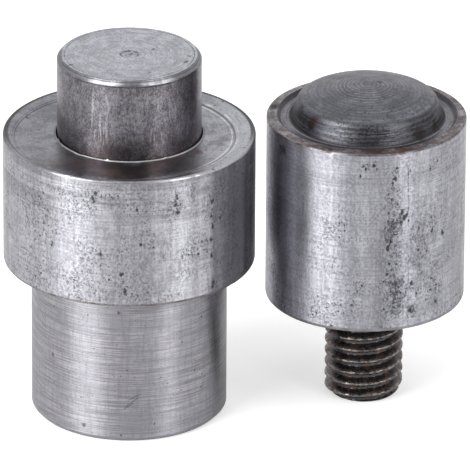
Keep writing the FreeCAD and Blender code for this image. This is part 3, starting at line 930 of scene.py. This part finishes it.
# %% Plunger
SIDE, FACE = range(2)
plunger_corners = corners_in_runs(
    (FACE, 0, (0, plunger_top - pip_depth), (pip_radius * 0.35, plunger_top - pip_depth * 0.3, 0.1 * mm),
     (pip_radius * 0.85, plunger_top - pip_depth, 0.1 * mm), (pip_radius, plunger_top, 0.05 * mm),
     (plunger_radius - plunger_bevel, plunger_top, 0.1 * mm)),
    (SIDE, 0, (plunger_radius, plunger_top - plunger_bevel, 0.15 * mm), (plunger_radius, bore_shoulder),
     (flange_radius, bore_shoulder), (flange_radius, plunger_low.z), (pocket_radius, plunger_low.z),
     (pocket_radius, pocket_roof), (0, pocket_roof)),
)
plunger = turned("centring_plunger_turned", outline(plunger_corners, fine_step), lower_axis,
                 Vector(), [plunger_steel, face_steel], around=240)

# %% [markdown]
# ## Upper die body
#
# The dome and the ring groove round it were turned in one setting, a little off the bar's own axis, so
# the rim is wider on one side. The cap is a shallow arc, given by its rise and its edge.

# %% Upper die body
UPPER, DOME, RIM, UNDER = range(4)
cap_sphere = (cap_radius ** 2 + cap_rise ** 2) / (2 * cap_rise)
cap_top = rim_top + cap_edge_rise + cap_rise
cap_steps = 24


def cap_place(step):
    radius = cap_radius * step / cap_steps
    drop = cap_sphere - math.sqrt(cap_sphere ** 2 - radius ** 2)
    return radius, cap_top - drop


cone_rise = tapped_hole_radius / math.tan(drill_cone_angle / 2)
upper_corners = corners_in_runs(
    (DOME, 1, *map(cap_place, range(cap_steps)), (cap_radius, rim_top + cap_edge_rise, cap_edge_round),
     (dome_shoulder_radius, rim_top + dome_shoulder_rise, dome_shoulder_round),
     (dome_foot_radius, rim_top - groove_depth, dome_foot_round),
     (rim_inner_radius - groove_wall_slope, rim_top - groove_depth, groove_round)),
    (RIM, 1, (rim_inner_radius, rim_top, rim_inner_round)),
    (UPPER, 0, (upper_radius, rim_top, body_top_round)),
    (UNDER, 0, (upper_radius, upper_low.z, body_bottom_round), (tapped_hole_radius, upper_low.z),
     (tapped_hole_radius, tapped_hole_end), (0, tapped_hole_end + cone_rise)),
)
upper_die = turned("upper_die_body_turned", outline(upper_corners, fine_step), upper_axis,
                   turning_shift, [upper_steel, dome_steel, rim_steel, underside_steel])

rim_dents = ((169, 9.4, 0.7, 0.12), (-112, 10.0, 0.35, 0.12), (-70, 10.0, 0.4, 0.1),
             (-35, 10.0, 0.3, 0.08), (-128, 9.9, 0.25, 0.06), (60, 10.0, 0.5, 0.1))
dented(upper_die, [
    (on_circle(upper_axis, radius * mm, degrees, rim_top), reach * mm,
     outward(degrees, -depth * mm / 2) - Vector((0, 0, depth * mm)))
    for degrees, radius, reach, depth in rim_dents
])

# %% [markdown]
# ## Geometry Nodes for what repeats
#
# The thread and the spring each follow one rule from end to end, so each is a node tree with its
# sizes as named inputs. A modifier's input is set by its identifier, and the result is made a plain mesh.

# %% A rule for what repeats
socket_kinds = ((bpy.types.Material, "Material"), (Vector, "Vector"), (int, "Int"), (float, "Float"))


class Rule(Tree):
    """A Geometry Nodes tree with its sizes as named inputs."""

    def __init__(self, name, sizes, material):
        super().__init__(bpy.data.node_groups.new(name, "GeometryNodeTree"))
        self.tree.is_modifier = True
        self.values = {}
        sockets = self.tree.interface
        sockets.new_socket("Geometry", in_out="INPUT", socket_type="NodeSocketGeometry")
        for label, value in {**sizes, "Steel": material}.items():
            kind = next(kind for sort, kind in socket_kinds if isinstance(value, sort))
            socket = sockets.new_socket(label, in_out="INPUT", socket_type="NodeSocket" + kind)
            self.values[socket.identifier] = value
        sockets.new_socket("Geometry", in_out="OUTPUT", socket_type="NodeSocketGeometry")
        inputs = self.tree.nodes.new("NodeGroupInput").outputs
        self.sizes = {socket.name: Pattern(self, socket) for socket in inputs}

    def end(self, geometry):
        """Realises the result and gives it its steel."""
        real = self.node("GeometryNodeRealizeInstances", {0: geometry})
        steel = self.node("GeometryNodeSetMaterial", {"Geometry": real, "Material": self.sizes["Steel"]})
        self.fill(self.tree.nodes.new("NodeGroupOutput"), {0: steel})

    def made(self, name):
        """Runs the tree on an empty mesh and returns the plain result."""
        carrier = in_scene(name + "_rule", bpy.data.meshes.new(name + "_rule"))
        modifier = carrier.modifiers.new("rule", "NODES")
        modifier.node_group = self.tree
        for identifier, value in self.values.items():
            modifier[identifier] = value
        graph = bpy.context.evaluated_depsgraph_get()
        mesh = bpy.data.meshes.new_from_object(carrier.evaluated_get(graph))
        mesh.name = name
        bpy.data.objects.remove(carrier)
        return placed(name, mesh)


# %% [markdown]
# ## Threaded stud
#
# A flat grid is rolled into a rod. How far a point stands out depends on one number: its height in
# pitches less its share of a turn, which is the same all along the helix. The crest and the root are
# flat, the flanks are straight, and the ends are chamfered by letting no point stand outside a cone.

# %% Thread rule
thread_radius = (stud_high.x - stud_low.x) / 2
thread_pitch = 1.25 * mm
thread_depth = 0.68 * mm
crest_flat_share = 0.14
root_flat_share = 0.22
stud_end_radius = 3.3 * mm
stud_length = stud_high.z - stud_low.z
stud_around = 96
stud_rows = 420
knock_radius = 3.9
knock_scale = 1.3

thread = Rule("thread_rule", {
    "Radius": thread_radius, "Pitch": thread_pitch, "Depth": thread_depth, "Crest Share": crest_flat_share,
    "Root Share": root_flat_share, "Length": stud_length, "End Radius": stud_end_radius,
    "Around": stud_around, "Rows": stud_rows, "Axis": upper_axis, "Knock Depth": 0.05 * mm, "Seed": 3,
}, stud_steel)


def thread_tree(rule):
    sizes = rule.sizes
    grid = rule.node("GeometryNodeMeshGrid", {"Size X": 1.0, "Size Y": 1.0, "Vertices X": sizes["Around"] + 1,
                                              "Vertices Y": sizes["Rows"]})
    flat = rule.node("SeparateXYZ", {0: rule.node("GeometryNodeInputPosition")}).outputs
    turn = rule.maths("ADD", flat[0], 0.5)
    height = rule.maths("ADD", flat[1], 0.5) * sizes["Length"]
    from_crest = rule.maths("PINGPONG", height / sizes["Pitch"] - turn, 0.5)
    sunk = rule.pattern("MapRange", {"Value": from_crest, "From Min": sizes["Crest Share"] * 0.5,
                                     "From Max": 0.5 - sizes["Root Share"] * 0.5})
    cone = rule.maths("MINIMUM", height, sizes["Length"] - height) + sizes["End Radius"]
    radius = rule.maths("MINIMUM", sizes["Radius"] - sunk * sizes["Depth"], cone)
    angle = turn * (2 * math.pi)
    cosine, sine = rule.maths("COSINE", angle), rule.maths("SINE", angle)
    where = rule.node("CombineXYZ", {0: cosine * knock_radius, 1: sine * knock_radius,
                                     2: height * (1 / mm) + sizes["Seed"]})
    knocks = rule.pattern("TexNoise", {"Vector": where, "Scale": knock_scale, "Detail": 3.0}, "Fac")
    worn = rule.pattern("MapRange", {"Value": knocks, "From Min": 0.45, "From Max": 0.8}) * sizes["Knock Depth"]
    rim = rule.vectors("SCALE", rule.node("CombineXYZ", {0: cosine, 1: sine}), radius - worn)
    place = rule.vectors("ADD", rule.vectors("ADD", rim, rule.node("CombineXYZ", {2: height})), sizes["Axis"])
    rolled = rule.node("GeometryNodeSetPosition", {"Geometry": grid, "Position": place})
    rule.end(rule.node("GeometryNodeMergeByDistance", {"Geometry": rolled, "Distance": 1e-7}))


thread_tree(thread)
rod = thread.made("stud_thread")

# %% [markdown]
# The rod is open at both ends. The upper end is a plain flat. The lower end has a hexagon socket for
# the key, which starts as a ring with the same number of points as the rod, so the two bridge evenly.

# %% Ends of the stud
hex_half_width = 2.0 * mm
hex_depth = 4.0 * mm
hex_side_angle = math.pi / 3


def hexagon_radius(angle):
    from_middle = (angle + hex_side_angle / 2) % hex_side_angle - hex_side_angle / 2
    return hex_half_width / math.cos(from_middle)


def closed_stud(rod):
    built = bmesh.new()
    built.from_mesh(rod.data)
    for height in (stud_low.z, stud_high.z):
        middle = upper_axis + Vector((0, 0, height))
        edge = [vertex for vertex in built.verts if vertex.is_boundary and abs(vertex.co.z - height) < smallest]
        edge.sort(key=lambda vertex: math.atan2(vertex.co.y - middle.y, vertex.co.x - middle.x))
        rings = [edge]
        if height == stud_low.z:
            for depth in (0, hex_depth):
                ring = []
                for vertex in edge:
                    angle = math.atan2(vertex.co.y - middle.y, vertex.co.x - middle.x)
                    spoke = Vector((math.cos(angle), math.sin(angle), 0)) * hexagon_radius(angle)
                    ring.append(built.verts.new(middle + spoke + Vector((0, 0, depth))))
                rings.append(ring)
        rings.append([built.verts.new(sum((vertex.co for vertex in rings[-1]), Vector()) / len(rings[-1]))])
        for first, second in zip(rings, rings[1:]):
            bridge(built, first, second)
    for face in built.faces:
        face.smooth = True
    bpy.data.objects.remove(rod)
    return finished("threaded_stud_black", built, [stud_steel])


stud = closed_stud(rod)

# %% [markdown]
# ## Plunger spring
#
# A line of points is bent into a helix and swept with a round section. The end coils lie closer
# together than the open ones. Clamping the height then grinds both ends flat. It sits inside the lower
# die.

# %% Spring rule
wire_radius = 0.6 * mm
spring_coils = 8.0
points_per_coil = 32
wire_around = 16
closed_pitch = 1.7 * mm
ground_depth = 0.25 * mm
coil_radius = (spring_high.x - spring_low.x) / 2 - wire_radius
wire_rise = spring_high.z - spring_low.z - 2 * wire_radius + 2 * ground_depth
open_pitch = (wire_rise - 2 * closed_pitch) / (spring_coils - 2)

spring_rule = Rule("spring_rule", {
    "Coil Radius": coil_radius, "Wire Radius": wire_radius, "Coils": spring_coils,
    "Closed Pitch": closed_pitch, "Open Pitch": open_pitch, "Points Per Coil": points_per_coil,
    "Low": spring_low.z, "High": spring_high.z, "First Height": spring_low.z + wire_radius - ground_depth,
    "Axis": lower_axis,
}, spring_steel)


def spring_tree(rule):
    sizes = rule.sizes
    line = rule.node("GeometryNodeMeshLine", {"Count": sizes["Coils"] * sizes["Points Per Coil"] + 1})
    turns = rule.maths("DIVIDE", rule.node("GeometryNodeInputIndex"), sizes["Points Per Coil"])
    low_part = rule.maths("MINIMUM", turns, 1)
    high_part = rule.maths("MAXIMUM", turns - (sizes["Coils"] - 1), 0)
    closed_rise = (low_part + high_part) * sizes["Closed Pitch"]
    height = closed_rise + (turns - low_part - high_part) * sizes["Open Pitch"] + sizes["First Height"]
    angle = turns * (2 * math.pi)
    place = rule.node("CombineXYZ", {0: rule.maths("COSINE", angle) * sizes["Coil Radius"],
                                     1: rule.maths("SINE", angle) * sizes["Coil Radius"], 2: height})
    bent = rule.node("GeometryNodeSetPosition", {"Geometry": line,
                                                 "Position": rule.vectors("ADD", place, sizes["Axis"])})
    wire = rule.node("GeometryNodeCurveToMesh", {
        "Curve": rule.node("GeometryNodeMeshToCurve", {0: bent}), "Fill Caps": True,
        "Profile Curve": rule.node("GeometryNodeCurvePrimitiveCircle", {"Resolution": wire_around,
                                                                        "Radius": sizes["Wire Radius"]})})
    spot = rule.node("SeparateXYZ", {0: rule.node("GeometryNodeInputPosition")}).outputs
    level = rule.maths("MINIMUM", rule.maths("MAXIMUM", spot[2], sizes["Low"]), sizes["High"])
    flat = rule.node("CombineXYZ", {0: spot[0], 1: spot[1], 2: level})
    ground = rule.node("GeometryNodeSetPosition", {"Geometry": wire, "Position": flat})
    rule.end(rule.node("GeometryNodeSetShadeSmooth", {"Geometry": ground}))


spring_tree(spring_rule)
spring = spring_rule.made("plunger_spring_wound")

# %% [markdown]
# ## Bodies and the pieces they replace
#
# The new pieces ride on the imported model's bodies, and the imported nodes they replace are hidden.
# The seat disc and its ring keep their imported shape, which is right, and get a finish.

# %% Riding and replacing
plunger_joint = next(joint for joint in frame["joints"] if joint["name"] == "plunger_press")
travel = max(abs(value) for value in plunger_joint["range_m"])
spring_height = spring_high.z - spring_low.z

for piece, body, node, slot in (
    (lower_die, "lower_die", "lower_die_body", "lower_die_steel"),
    (plunger, "plunger", "centring_plunger", "plunger_steel"),
    (spring, "lower_die", "plunger_spring", "spring_steel"),
    (upper_die, "upper_die", "upper_die_body", "upper_die_steel"),
    (stud, "upper_die", "threaded_stud", "stud_steel"),
):
    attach(piece, body)
    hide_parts(node)
(spring_height - travel) / spring_height
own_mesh(spring)

for node, material in (("spring_seat_disc", disc_steel), ("retaining_ring", ring_steel)):
    packed = frame["nodes"][node]
    packed.data.materials.clear()
    packed.data.materials.append(material)

# %% [markdown]
# ## Floor, light and camera
#
# The floor and the surroundings are white for the camera and in the steel's reflections, and the floor
# keeps the dies' shadow. Two tall soft lamps stand left and right of the camera: their reflections are
# the bright bands down the sides.

# %% Floor
floor_half = 3.0
floor_drop = 0.02 * mm
floor_mesh = bpy.data.meshes.new("floor")
floor_corners = [(x * floor_half, y * floor_half, 0) for x, y in ((-1, -1), (1, -1), (1, 1), (-1, 1))]
floor_mesh.from_pydata(floor_corners, [], [(0, 1, 2, 3)])
floor = in_scene("floor", floor_mesh)
floor.location.z = -floor_drop

floor_glow = 0.42
floor_material = bpy.data.materials.new("white_floor")
floor_material.use_nodes = True
floor_tree = Tree(floor_material.node_tree)
floor_tree.fill(floor_tree.tree.nodes["Principled BSDF"], {
    "Base Color": (0.8, 0.8, 0.8, 1), "Roughness": 0.9, "Specular IOR Level": 0.0, "Emission Color": (1, 1, 1, 1),
    "Emission Strength": floor_tree.pattern("LightPath", output="Is Camera Ray") * floor_glow,
})
floor_mesh.materials.append(floor_material)

# %% World
wall_level = 0.8
camera_side_level = 0.25
dim_elevation, dim_core, dim_reach = math.radians(20), math.radians(12), math.radians(42)
world = bpy.data.worlds.new("white_room")
bpy.context.scene.world = world
world.use_nodes = True
room = Tree(world.node_tree)
dim_way = Vector((0, -math.cos(dim_elevation), math.sin(dim_elevation)))
towards = room.vectors("DOT_PRODUCT", room.node("TexCoord").outputs["Generated"], dim_way)
level = towards.between(math.cos(dim_reach), math.cos(dim_core), wall_level, camera_side_level)
seen = room.pattern("LightPath", output="Is Camera Ray")
strength = room.node("Mix", {"Factor": seen, "A": level, "B": 1.0}, data_type="FLOAT")
room.fill(room.tree.nodes["Background"], {"Color": (1, 1, 1, 1), "Strength": strength})

# %% Camera
camera_distance = 0.9
camera_elevation = math.radians(24.15)
camera_roll = math.radians(0.35)
camera_lens = 683.0
camera_target = Vector((10.58, 7.1, 15.2)) * mm

camera_data = bpy.data.cameras.new("camera")
camera_data.lens = camera_lens
camera_data.sensor_width = 36.0
camera = in_scene("camera", camera_data)
back = Vector((0, -math.cos(camera_elevation), math.sin(camera_elevation)))
camera.location = camera_target + back * camera_distance
camera.rotation_euler = ((-back).to_track_quat("-Z", "Y").to_matrix()
                         @ Matrix.Rotation(camera_roll, 3, "Z")).to_euler()
bpy.context.scene.camera = camera

# %% Lamps
lamp_distance = 0.5


def soft_lamp(name, azimuth, elevation, width, height, watts):
    """A tall soft lamp, its azimuth counted from the camera's side towards the right."""
    data = bpy.data.lights.new(name, "AREA")
    data.shape = "RECTANGLE"
    data.size, data.size_y = width, height
    data.energy = watts
    lamp = in_scene(name, data)
    around, up = math.radians(azimuth), math.radians(elevation)
    way = Vector((math.sin(around) * math.cos(up), -math.cos(around) * math.cos(up), math.sin(up)))
    lamp.location = camera_target + way * lamp_distance
    lamp.rotation_euler = way.to_track_quat("Z", "Y").to_euler()
    return lamp


soft_lamp("left_lamp", -50, 25, 0.32, 0.6, 2.95)
soft_lamp("right_lamp", 46, 25, 0.14, 0.6, 1.0)

# %% View
bpy.context.scene.view_settings.view_transform = "Standard"
